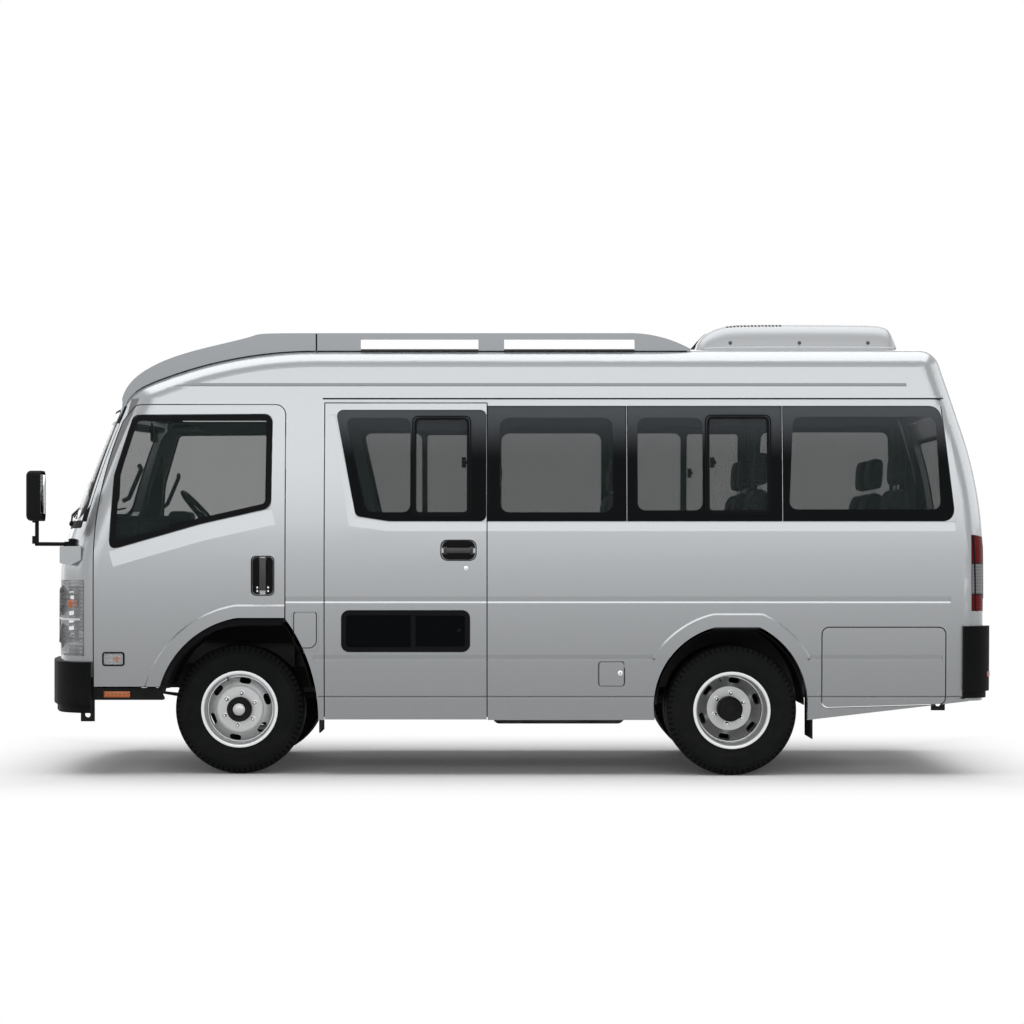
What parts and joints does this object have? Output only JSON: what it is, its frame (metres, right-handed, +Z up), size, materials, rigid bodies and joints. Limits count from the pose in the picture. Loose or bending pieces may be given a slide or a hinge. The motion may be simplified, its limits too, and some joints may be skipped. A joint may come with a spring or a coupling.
{
  "type": "light truck based minibus",
  "caption": "Forward-control minibus on a light truck chassis, with hinged doors, a tailgate, a luggage flap, linked steering and twin rear wheels that all roll.",
  "frame": {"origin": "on the ground, below the middle of the vehicle", "axes": "+X forward, +Y to the vehicle's left, +Z up"},
  "size_m": [5.44, 2.146, 2.603],
  "materials": {
    "body_paint": "silver metallic paint",
    "unit_cover": "pale grey paint",
    "dark_glass": "dark tinted glass",
    "clear_glass": "light green tinted glass",
    "lamp_lens": "clear lens",
    "tail_lens": "red lens",
    "black_plastic": "moulded black plastic",
    "flap_rubber": "black rubber",
    "floor_paint": "dark painted steel",
    "dash_plastic": "dark grey plastic",
    "seat_cloth": "dark grey cloth",
    "chassis_paint": "black chassis paint",
    "cast_block": "bare casting",
    "exhaust_steel": "dull steel",
    "spare_finish": "tyre on a dark wheel",
    "wheel_rim_plastic": "grained black plastic",
    "tyre": "black tyre rubber",
    "rim_paint": "silver wheel paint"
  },
  "bodies": {
    "root": {"roof_panel": "body_paint", "left_side_panel": "body_paint", "right_side_panel": "body_paint", "side_glass": "dark_glass", "front_panel": "body_paint", "windshield": "clear_glass", "head_lamps": "lamp_lens", "grille": "black_plastic", "rear_panel": "body_paint", "tail_lamps": "tail_lens", "front_bumper": "black_plastic", "rear_bumper": "black_plastic", "cab_steps": "black_plastic", "mud_flaps": "flap_rubber", "roof_rails": "body_paint", "air_conditioner": "unit_cover", "mirrors": "black_plastic", "floor_pan": "floor_paint", "cab_floor": "floor_paint", "step_well": "floor_paint", "dashboard": "dash_plastic", "front_seats": "seat_cloth", "passenger_seats": "seat_cloth", "seat_frames": "chassis_paint", "arch_liners": "black_plastic", "radiator": "chassis_paint", "ladder_frame": "chassis_paint", "front_axle_beam": "chassis_paint", "rear_axle": "chassis_paint", "leaf_springs": "chassis_paint", "engine": "cast_block", "propeller_shaft": "chassis_paint", "fuel_tank": "chassis_paint", "exhaust": "exhaust_steel", "spare_wheel": "spare_finish"},
    "front_left_door": {"front_left_door": "body_paint", "front_left_door_glass": "clear_glass"},
    "front_right_door": {"front_right_door": "body_paint", "front_right_door_glass": "clear_glass"},
    "passenger_door": {"passenger_door": "body_paint", "passenger_door_glass": "dark_glass"},
    "tailgate": {"tailgate": "body_paint", "tailgate_glass": "dark_glass"},
    "luggage_flap": {"luggage_flap": "body_paint"},
    "left_knuckle": {"left_knuckle": "chassis_paint"},
    "right_knuckle": {"right_knuckle": "chassis_paint"},
    "tie_rod": {"tie_rod": "chassis_paint"},
    "steering_wheel": {"steering_wheel": "wheel_rim_plastic"},
    "front_left_wheel": {"front_left_tyre": "tyre", "front_left_rim": "rim_paint"},
    "front_right_wheel": {"front_right_tyre": "tyre", "front_right_rim": "rim_paint"},
    "rear_left_wheels": {"rear_left_tyres": "tyre", "rear_left_rims": "rim_paint"},
    "rear_right_wheels": {"rear_right_tyres": "tyre", "rear_right_rims": "rim_paint"}
  },
  "joints": [
    {"name": "front_left_door_hinge", "type": "hinge", "parent": "root", "child": "front_left_door", "pos_m": [2.364, 0.928, 1.2], "axis": [0, 0, -1], "range_deg": [0, 70]},
    {"name": "front_right_door_hinge", "type": "hinge", "parent": "root", "child": "front_right_door", "pos_m": [2.364, -0.928, 1.2], "axis": [0, 0, 1], "range_deg": [0, 70]},
    {"name": "passenger_door_hinge", "type": "hinge", "parent": "root", "child": "passenger_door", "pos_m": [1.059, 0.928, 1.2], "axis": [0, 0, -1], "range_deg": [0, 80]},
    {"name": "tailgate_hinge", "type": "hinge", "parent": "root", "child": "tailgate", "pos_m": [-2.543, 0, 2.062], "axis": [0, 1, 0], "range_deg": [0, 85]},
    {"name": "luggage_flap_hinge", "type": "hinge", "parent": "root", "child": "luggage_flap", "pos_m": [-2.1, 0.928, 0.839], "axis": [1, 0, 0], "range_deg": [0, 80]},
    {"name": "left_kingpin", "type": "hinge", "parent": "root", "child": "left_knuckle", "pos_m": [1.555, 0.64, 0.37], "axis": [0, 0, 1], "range_deg": [-35, 35]},
    {"name": "right_kingpin", "type": "hinge", "parent": "root", "child": "right_knuckle", "pos_m": [1.555, -0.64, 0.37], "axis": [0, 0, 1], "range_deg": [-35, 35]},
    {"name": "tie_rod_pivot", "type": "hinge", "parent": "left_knuckle", "child": "tie_rod", "pos_m": [1.425, 0.64, 0.29], "axis": [0, 0, 1], "range_deg": [-35, 35]},
    {"name": "steering_wheel_turn", "type": "hinge", "parent": "root", "child": "steering_wheel", "pos_m": [1.9, -0.4, 1.48], "axis": [-0.7498, 0, 0.6616], "range_deg": [-540, 540]},
    {"name": "front_left_wheel_spin", "type": "hinge", "parent": "left_knuckle", "child": "front_left_wheel", "pos_m": [1.555, 0.7, 0.37], "axis": [0, 1, 0], "continuous": true},
    {"name": "front_right_wheel_spin", "type": "hinge", "parent": "right_knuckle", "child": "front_right_wheel", "pos_m": [1.555, -0.7, 0.37], "axis": [0, 1, 0], "continuous": true},
    {"name": "rear_left_wheels_spin", "type": "hinge", "parent": "root", "child": "rear_left_wheels", "pos_m": [-1.245, 0.695, 0.37], "axis": [0, 1, 0], "continuous": true},
    {"name": "rear_right_wheels_spin", "type": "hinge", "parent": "root", "child": "rear_right_wheels", "pos_m": [-1.245, -0.695, 0.37], "axis": [0, 1, 0], "continuous": true}
  ],
  "couplings": [
    {"joint": "right_kingpin", "follows": "left_kingpin", "ratio": 1},
    {"joint": "tie_rod_pivot", "follows": "left_kingpin", "ratio": -1},
    {"joint": "steering_wheel_turn", "follows": "left_kingpin", "ratio": 15}
  ]
}
